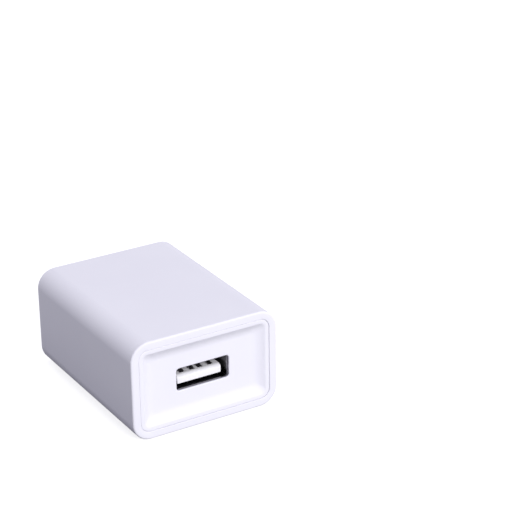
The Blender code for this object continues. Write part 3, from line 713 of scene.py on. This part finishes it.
def usb_face_cover():
    """A narrow flat ring round a dished panel, coved down to its floor, with the socket's mouth."""
    outer = (HALF_WIDTH - WALL - SEAM, HALF_HEIGHT - WALL - SEAM, BORE_CORNER - SEAM)
    brink = (*grown(outer[:2], -RING_WIDTH), DISH_CORNER)
    floor = (*grown(brink[:2], -DISH_SLOPE), FLOOR_CORNER)
    hollow = (*grown(outer[:2], -COVER_SHEET), COVER_CORNER)
    front = USB_END + RING_INSET
    back = USB_END + SOCKET_COVER_DEPTH
    panel_face = USB_END + PANEL_DEPTH
    panel_back = panel_face + PANEL_THICK
    sections = []
    for inset, along in arc((COVER_EDGE, front + COVER_EDGE), COVER_EDGE, 180, 270, 4):
        sections.append((*grown(outer, -inset), along))
    for step in range(DISH_STEPS + 1):
        share = step / DISH_STEPS
        size = [high + (low - high) * share for high, low in zip(brink, floor)]
        sections.append((*size, front + (panel_face - front) * dish_depth(share)))
    sections.append((*grown(floor, -FLOOR_MARGIN), panel_face))
    sections.append((*grown(MOUTH, MOUTH_ROUND + FLOOR_MARGIN), panel_face))
    for reach, along in arc((MOUTH_ROUND, panel_face + MOUTH_ROUND), MOUTH_ROUND, 270, 180, 3):
        sections.append((*grown(MOUTH, reach), along))
    sections.append((*MOUTH, panel_face + MOUTH_LIP))
    sections.append((*POCKET, panel_face + MOUTH_LIP))
    sections.append((*POCKET, panel_back))
    sections.append((*hollow, panel_back))
    sections.append((*hollow, back))
    sections.append((*outer, back))
    mesh = built(loft(sections, closed=True), ("UNION", snap_tabs(outer[1], back)))
    return add_piece("socket_cover", mesh, MATERIALS["housing_white"], ["usb_face_cover"])


def snap_tabs(half_height, back):
    """Four tabs that reach back from the cover's skirt."""
    tabs = []
    for side in (-1, 1):
        across = sorted((side * 5.5, side * 8.5))
        for low in (MID - half_height + 0.1, MID + half_height - 1.1):
            tabs.append(block((across[0], back - 0.4, low), (across[1], back + 2.0, low + 1.0)))
    return tabs


def dish_depth(share):
    """How deep the dish is on the way in: it turns over a small brink, then coves to its floor."""
    if share < DISH_BRINK:
        turned = share * share / (2 * DISH_BRINK)
    else:
        turned = share - DISH_BRINK / 2
    return 1 - (1 - turned / (1 - DISH_BRINK / 2)) ** 2


def plug_face_cover():
    """The plug end: a flat face in the sleeve's seat, its spigot, and the boss round the blades."""
    face = (HALF_WIDTH - SEAT_INSET - SEAM, HALF_HEIGHT - SEAT_INSET - SEAM, SEAT_CORNER - SEAM)
    spigot = (HALF_WIDTH - WALL - SPIGOT_GAP, HALF_HEIGHT - WALL - SPIGOT_GAP, SPIGOT_CORNER)
    inside = (*grown(spigot[:2], -COVER_SHEET), COVER_CORNER)
    face_back = PLUG_SEAT + FACE_GAP
    sections = [
        (*inside, face_back),
        (*inside, SPIGOT_BACK),
        (*spigot, SPIGOT_BACK),
        (*spigot, face_back),
        (*face, face_back),
    ]
    for inset, along in arc((COVER_EDGE, PLUG_FACE - COVER_EDGE), COVER_EDGE, 180, 90, 4):
        sections.append((*grown(face, -inset), along))
    boss = loft([(*BOSS, BOSS_BACK), (*BOSS, PLUG_SEAT + 0.6)], closed=False, steps=6)
    along_y = Matrix.Rotation(math.pi / 2, 4, "X")
    pegs = []
    for height in (-PEG_HEIGHT, PEG_HEIGHT):
        pegs.append(peg((0, PEG_Y, MID + height), PEG_RADIUS, PEG_LENGTH, along_y))
    half_thick, half_width = BLADE_HALF_THICK + SLOT_GAP, BLADE_HALF_WIDTH + SLOT_GAP
    slots = []
    for centre in (-BLADE_X, BLADE_X):
        low = (centre - half_thick, BOSS_BACK - 1, MID - half_width)
        slots.append(block(low, (centre + half_thick, PLUG_END + 1, MID + half_width)))
    steps = ("UNION", [boss]), ("UNION", pegs), ("DIFFERENCE", slots)
    mesh = built(loft(sections, closed=False), *steps)
    return add_piece("plug_cover", mesh, MATERIALS["housing_white"], ["plug_face_cover"])


# The blades


def blade(name, node, side):
    """A stamped blade: arched tip, chamfered to a ridge, shoulder behind the boss, holed tail."""
    centre = side * BLADE_X
    outline = [(along, MID + across) for across, along in tip_arch()]
    tail_corner = (TAIL_ROUND - TAIL_HALF_WIDTH, TAIL_END + TAIL_ROUND)
    shoulder = [
        (-BLADE_HALF_WIDTH, SHOULDER_FRONT),
        (-SHOULDER_HALF_WIDTH, SHOULDER_FRONT),
        (-SHOULDER_HALF_WIDTH, SHOULDER_BACK),
        (-TAIL_HALF_WIDTH, SHOULDER_BACK - 0.2),
    ]
    shoulder += arc(tail_corner, TAIL_ROUND, 180, 270, 8)
    outline += [(along, MID + across) for across, along in shoulder]
    outline += [(along, MID - across) for across, along in reversed(shoulder)]
    across_x = Matrix.Rotation(math.pi / 2, 4, "Y")
    hole = peg((centre, TAIL_HOLE_Y, MID), TAIL_HOLE_RADIUS, 4, across_x)
    cutters = [hole] + [tip_wedge(centre, face) for face in (-1, 1)]
    solid = prism(outline, centre - BLADE_HALF_THICK, centre + BLADE_HALF_THICK)
    mesh = built(solid, ("DIFFERENCE", cutters), rounding=BLADE_ROUND)
    return add_piece(name, mesh, MATERIALS["blade_nickel"], [node])


def tip_arch():
    """The arched end of a blade, as (across, y), from one edge to the other."""
    crown = (BLADE_HALF_WIDTH ** 2 + TIP_RISE ** 2) / (2 * TIP_RISE)
    sweep = math.degrees(math.asin(BLADE_HALF_WIDTH / crown))
    return arc((0, BLADE_HIGH.y - crown), crown, 90 - sweep, 90 + sweep, 32)


def tip_wedge(centre, face):
    """A leaning block that shaves one face of a blade's end down towards a ridge."""
    reach = BLADE_HALF_WIDTH + 1
    wedge = block((-0.5, -2.0, -reach), (0.5, 2.0, reach))
    spot = (centre + face * (BLADE_HALF_THICK + 0.23), BLADE_HIGH.y - 0.9, MID)
    lean = Matrix.Rotation(math.radians(face * TIP_LEAN), 4, "Z")
    place = Matrix.Translation(Vector(spot) * MM)
    bmesh.ops.transform(wedge, matrix=place @ lean, verts=wedge.verts)
    return wedge


# The socket


def usb_shell():
    """The folded steel shell, with two legs into the board and four fingers that grip the plug."""
    near, far = SOCKET_LOW.y, SOCKET_HIGH.y
    inside = grown(SHELL, -SHELL_SHEET)
    sections = [
        (*grown(SHELL, -SHELL_EDGE), near),
        (*SHELL, near + SHELL_EDGE),
        (*SHELL, far),
        (*inside, far),
        (*inside, near + SHELL_EDGE),
        (*grown(inside, SHELL_EDGE), near),
    ]
    notch_corner = (-NOTCH_HALF_WIDTH, far - NOTCH_LENGTH, MID + 2)
    notch = block(notch_corner, (NOTCH_HALF_WIDTH, far + 1, MID + 4))
    legs, windows, fingers = [], [], []
    for side in (-1, 1):
        across = sorted((side * (SHELL[0] - SHELL_SHEET), side * SHELL[0]))
        foot = (across[0], LEG_BACK, BOARD_LOW.z - LEG_DROP)
        legs.append(block(foot, (across[1], LEG_FRONT, SOCKET_HIGH.z)))
    for across in (-FINGER_X, FINGER_X):
        for side in (-1, 1):
            windows.append(finger_window(across, side))
            fingers.append(finger(across, side))
    mesh = built(
        loft(sections, closed=True, steps=8),
        ("DIFFERENCE", [notch]), ("DIFFERENCE", windows), ("UNION", legs), ("UNION", fingers),
    )
    return add_piece("socket_shell", mesh, MATERIALS["shell_steel"], ["usb_shell"])


def sheet_level(side):
    """The middle of the shell's sheet, under the plug or over it."""
    return MID + side * (SHELL[1] - SHELL_SHEET / 2)


def finger_window(across, side):
    """The window that a finger is cut out of."""
    near, level = SOCKET_LOW.y, sheet_level(side)
    low = (across - WINDOW_HALF_WIDTH, near + 3.1, level - SHELL_SHEET)
    return block(low, (across + WINDOW_HALF_WIDTH, near + 7.05, level + SHELL_SHEET))


def finger(across, side):
    """A sprung finger, from the front of its window, that bows in towards the plug."""
    near, level = SOCKET_LOW.y, sheet_level(side)
    half_sheet = SHELL_SHEET / 2
    # Points are (y, how far in from the sheet)
    line = softened([(near + 2.6, 0.0), (near + 3.9, 0.0), (near + 5.8, 0.42), (near + 6.7, 0.10)])
    upper = [(y, level - side * (inward - half_sheet)) for y, inward in line]
    lower = [(y, level - side * (inward + half_sheet)) for y, inward in reversed(line)]
    return prism(upper + lower, across - FINGER_HALF_WIDTH, across + FINGER_HALF_WIDTH)


def contact_places():
    """The middle of each contact across the charger."""
    places = []
    for number in range(1, CONTACT_COUNT + 1):
        low, high = node_box(f"usb_contact_{number}")
        places.append((low.x + high.x) / 2)
    return places


def usb_insulator():
    """The white tongue, chamfered at its front, on its base block, grooved for the contacts."""
    low, high = node_box("usb_insulator")
    # Each ring stands in this far from the sides, the underside and the top, and this far back
    nose = (
        (0.32, 0.20, 0.75, 0.00),
        (0.12, 0.06, 0.55, 0.10),
        (0.04, 0.00, 0.30, 0.30),
        (0.00, 0.00, 0.10, 0.65),
        (0.00, 0.00, 0.00, 1.00),
        (0.00, 0.00, 0.00, TONGUE_ROOT - low.y),
    )
    rings = []
    for side, under, over, along in nose:
        half_height = (TONGUE_HIGH - over - TONGUE_LOW - under) / 2
        outline = rounded_outline(TONGUE_HALF_WIDTH - side, half_height, TONGUE_CORNER, 5)
        level = TONGUE_LOW + under + half_height
        rings.append([(x, low.y + along, z + level) for x, z in outline])
    base = block((low.x, BASE_FRONT, low.z), high)
    half_groove = CONTACT_WIDTH / 2 + GROOVE_MARGIN
    grooves = []
    for x in contact_places():
        corner = (x - half_groove, low.y + GROOVE_START, GROOVE_LOW)
        grooves.append(block(corner, (x + half_groove, GROOVE_END, high.z + 1)))
    solid = skin(rings, closed=False)
    mesh = built(solid, ("UNION", [base]), ("DIFFERENCE", grooves), rounding=FINE_ROUND)
    return add_piece("socket_insulator", mesh, MATERIALS["socket_white"], ["usb_insulator"])


def usb_contact(number, across):
    """A sprung contact: a tail through the board, a beam along its groove and a bowed nose."""
    node = f"usb_contact_{number}"
    top = node_box(node)[1].z
    tail = [(CONTACT_TAIL_Y, top), (CONTACT_TAIL_Y, CONTACT_LEVEL + 0.4)]
    bend = [(CONTACT_TAIL_Y - 0.1, CONTACT_LEVEL), (CONTACT_TAIL_Y - 0.6, CONTACT_LEVEL)]
    crown = CONTACT_LEVEL + 0.5
    nose = [(-15.9, CONTACT_LEVEL), (-17.0, crown - 0.02), (-17.6, crown), (-18.4, crown - 0.4)]
    outline = offset_both_ways(softened(tail + bend + nose), CONTACT_THICK / 2)
    solid = prism(outline, across - CONTACT_WIDTH / 2, across + CONTACT_WIDTH / 2)
    mesh = built(solid, rounding=FINE_ROUND)
    name, body = f"socket_contact_{number}", f"contact_{number}"
    return add_piece(name, mesh, MATERIALS["contact_tin"], [node], body)


def offset_both_ways(line, reach):
    """The outline of a strip that runs along a line."""
    left, right = [], []
    for i, point in enumerate(line):
        before, after = Vector(line[max(i - 1, 0)]), Vector(line[min(i + 1, len(line) - 1)])
        run = (after - before).normalized()
        sideways = Vector((-run.y, run.x)) * reach
        left.append(tuple(Vector(point) + sideways))
        right.append(tuple(Vector(point) - sideways))
    return left + right[::-1]


# Plain printed marks on the plug face, in place of lettering


INK_THICK = 0.015
STROKE = 0.26
DASH_CORNER = 0.08
DASH_GAP = 0.3
DASH_LENGTHS = [0.8, 0.45, 1.1, 0.6, 0.35, 0.9, 0.5, 1.3, 0.7, 0.4, 1.0]
ROW_HALF_GAP = 0.29
SQUARE_CENTRE = (10.8, 0.6)
OVALS_CENTRE = (0.0, 0.2)
CIRCLES_CENTRE = (-11.6, 1.2)


def decal(outer, inner=None, centre=(0.0, 0.0)):
    """Thin ink between two outlines, or filling one, as (x, z) from the middle of the plug face."""
    low, high = PLUG_FACE, PLUG_FACE + INK_THICK

    def ring(outline, along):
        return [(x + centre[0], along, z + centre[1] + MID) for x, z in outline]

    if inner is None:
        return skin([ring(outer, low), ring(outer, high)], closed=False)
    rings = [ring(outer, low), ring(outer, high), ring(inner, high), ring(inner, low)]
    return skin(rings, closed=True)


def ellipse(half_width, half_height, steps=64):
    circle = arc((0, 0), 1.0, 0, 360 - 360 / steps, steps - 1)
    return [(half_width * x, half_height * z) for x, z in circle]


def mark_row(height, left, right, start):
    """Plain dashes from one place to another, taking their lengths in turn from a list."""
    shapes = []
    turn = start
    while left < right:
        length = DASH_LENGTHS[turn % len(DASH_LENGTHS)]
        outline = rounded_outline(length / 2, STROKE / 2, DASH_CORNER, 2)
        shapes.append(decal(outline, centre=(-(left + length / 2), height)))
        left += length + DASH_GAP
        turn += 1
    return shapes


def printed_marks():
    """Rows of plain dashes, two pairs of rings and a double square."""
    shapes = dash_rows() + double_square(SQUARE_CENTRE) + ring_pairs()
    return add_piece("printed_marks", built(together(shapes)), print_ink())


def dash_rows():
    """Rows of paired dashes, as (height, from, to). Seen from outside, places count to the right."""
    rows = (
        (7.7, -12.2, -3.4),
        (7.7, -1.2, 3.6),
        (7.7, 6.2, 10.4),
        (6.2, -11.4, 2.2),
        (-4.9, -12.2, 12.4),
        (-6.5, -11.2, -1.4),
        (-6.5, 1.2, 11.8),
    )
    shapes = []
    for number, (height, left, right) in enumerate(rows):
        shapes += mark_row(height + ROW_HALF_GAP, left, right, 2 * number)
        shapes += mark_row(height - ROW_HALF_GAP, left + 0.1, right, 2 * number + 5)
    return shapes


def double_square(centre):
    """One plain square outline inside another."""
    shapes = []
    for size in (1.9, 1.05):
        outer = rounded_outline(size, size, 0.12, 3)
        inner = rounded_outline(size - STROKE, size - STROKE, 0.05, 3)
        shapes.append(decal(outer, inner, centre))
    return shapes


def ring_pairs():
    """A pair of ovals between the blades and a pair of circles beside them."""
    rings = (
        (OVALS_CENTRE, 2.5, 1.9),
        (OVALS_CENTRE, 1.5, 1.1),
        (CIRCLES_CENTRE, 1.8, 1.8),
        (CIRCLES_CENTRE, 0.95, 0.95),
    )
    shapes = []
    for centre, half_width, half_height in rings:
        outer = ellipse(half_width, half_height)
        inner = ellipse(half_width - STROKE, half_height - STROKE)
        shapes.append(decal(outer, inner, centre))
    return shapes


# The stage, the lights and the camera


FLOOR_RADIUS = 1200.0
BACKDROP_RADIUS = 1500.0
CARD_WIDTH = 14.0
CARD_LENGTH = 60.0
CARD_GLOW = 0.091
CARD_COLOUR = (0.69, 0.68, 1.0)
ROOM_COLOUR = (0.955, 0.945, 1.06)
ROOM_LIGHT = 0.41
ROOM_SLOPE = 0.19
LIGHT_DISTANCE = 1200.0
CAMERA_PLACE = (-176.9, -341.4, 200.8)
CAMERA_TURN = (66.09, 0.75, -31.11)
CAMERA_LENS = 132.8
SENSOR_WIDTH = 36.0


def stage_material(name, glow, colour=(1.0, 1.0, 1.0), diffuse=0.0):
    """A plain surface that glows, and takes some light from the lamps where diffuse is over 0."""
    made = bpy.data.materials.new(name)
    made.use_nodes = True
    shader = made.node_tree.nodes["Principled BSDF"]
    shader.inputs["Base Color"].default_value = (*[channel * diffuse for channel in colour], 1.0)
    shader.inputs["Roughness"].default_value = 1.0
    shader.inputs["Specular IOR Level"].default_value = 0.0
    shader.inputs["Emission Color"].default_value = (*colour, 1.0)
    shader.inputs["Emission Strength"].default_value = glow
    return made


def stage_object(shape, name, material):
    """A piece of the studio, which nothing on the charger mirrors."""
    made = helper_object(shape, name)
    made.data.materials.append(material)
    made.hide_render = False
    made.visible_glossy = False
    made.visible_transmission = False
    return made


def floor_and_backdrop():
    """A white disc and a white sphere, which throw no light on the charger."""
    shape = bmesh.new()
    bmesh.ops.create_circle(shape, cap_ends=True, segments=96, radius=FLOOR_RADIUS * MM)
    floor = stage_object(shape, "floor", stage_material("floor_white", 0.72, diffuse=0.52))
    shape = bmesh.new()
    bmesh.ops.create_uvsphere(shape, u_segments=64, v_segments=32, radius=BACKDROP_RADIUS * MM)
    backdrop = stage_object(shape, "backdrop", stage_material("backdrop_white", 1.0))
    backdrop.visible_shadow = False
    for item in (floor, backdrop):
        item.visible_diffuse = False
        item.visible_volume_scatter = False


def flag_card():
    """An unseen grey card along the foot of the left side, just under the floor, that dims it."""
    shape = bmesh.new()
    bmesh.ops.create_grid(shape, x_segments=1, y_segments=1, size=0.5 * MM)
    bmesh.ops.scale(shape, vec=(CARD_WIDTH, CARD_LENGTH, 1), verts=shape.verts)
    place = Vector((-HALF_WIDTH - CARD_WIDTH / 2, 0, -0.5))
    bmesh.ops.translate(shape, vec=place * MM, verts=shape.verts)
    card = stage_object(shape, "flag_card", stage_material("card_grey", CARD_GLOW, CARD_COLOUR))
    card.visible_camera = False
    card.visible_shadow = False


def soft_light(name, direction, size, power, colour):
    """An area light that faces the charger's middle and leaves no glare on it."""
    data = bpy.data.lights.new(name, "AREA")
    data.shape = "DISK"
    data.size = size * MM
    data.energy = power
    data.color = colour
    light = bpy.data.objects.new(name, data)
    bpy.context.scene.collection.objects.link(light)
    aim = Vector(direction).normalized()
    light.location = (Vector((0, 0, MID)) + aim * LIGHT_DISTANCE) * MM
    light.rotation_euler = aim.to_track_quat("Z", "Y").to_euler()
    light.visible_camera = False
    light.visible_glossy = False


def lights():
    """A soft room, a large key light in front, a lamp at the right and a fill behind."""
    soft_room()
    soft_light("key_light", (0.06, -0.88, 0.41), 700, 12.6, (1.0, 1.0, 1.0))
    soft_light("side_light", (0.97, 0.0, 0.08), 600, 5.5, (1.0, 1.0, 1.02))
    soft_light("fill_light", (-0.08, 0.93, 0.19), 700, 8.0, (1.0, 1.0, 1.03))


def soft_room():
    """Light from all round, a little stronger from above."""
    world = bpy.data.worlds.new("soft_room")
    world.use_nodes = True
    tree = world.node_tree
    place = tree.nodes.new("ShaderNodeTexCoord")
    split = tree.nodes.new("ShaderNodeSeparateXYZ")
    height = tree.nodes.new("ShaderNodeMapRange")
    height.inputs["From Min"].default_value = -1.0
    height.inputs["To Min"].default_value = ROOM_LIGHT - ROOM_SLOPE
    height.inputs["To Max"].default_value = ROOM_LIGHT + ROOM_SLOPE
    tree.links.new(place.outputs["Generated"], split.inputs["Vector"])
    tree.links.new(split.outputs["Z"], height.inputs["Value"])
    sky = tree.nodes["Background"]
    sky.inputs["Color"].default_value = (*ROOM_COLOUR, 1.0)
    tree.links.new(height.outputs["Result"], sky.inputs["Strength"])
    bpy.context.scene.world = world


def camera():
    """Looks down on the charger from its front left, through a long lens."""
    data = bpy.data.cameras.new("camera")
    data.sensor_width = SENSOR_WIDTH
    data.lens = CAMERA_LENS
    data.clip_start = 0.01
    made = bpy.data.objects.new("camera", data)
    bpy.context.scene.collection.objects.link(made)
    made.location = Vector(CAMERA_PLACE) * MM
    made.rotation_euler = Euler([math.radians(angle) for angle in CAMERA_TURN])
    bpy.context.scene.camera = made


paint_cad_nodes()

housing_sleeve()
usb_face_cover()
plug_face_cover()
blade("left_blade", "blade_left", -1)
blade("right_blade", "blade_right", 1)
usb_shell()
usb_insulator()
for number, place in enumerate(contact_places(), start=1):
    usb_contact(number, place)
printed_marks()

floor_and_backdrop()
flag_card()
lights()
camera()
bpy.context.scene.view_settings.view_transform = "Standard"
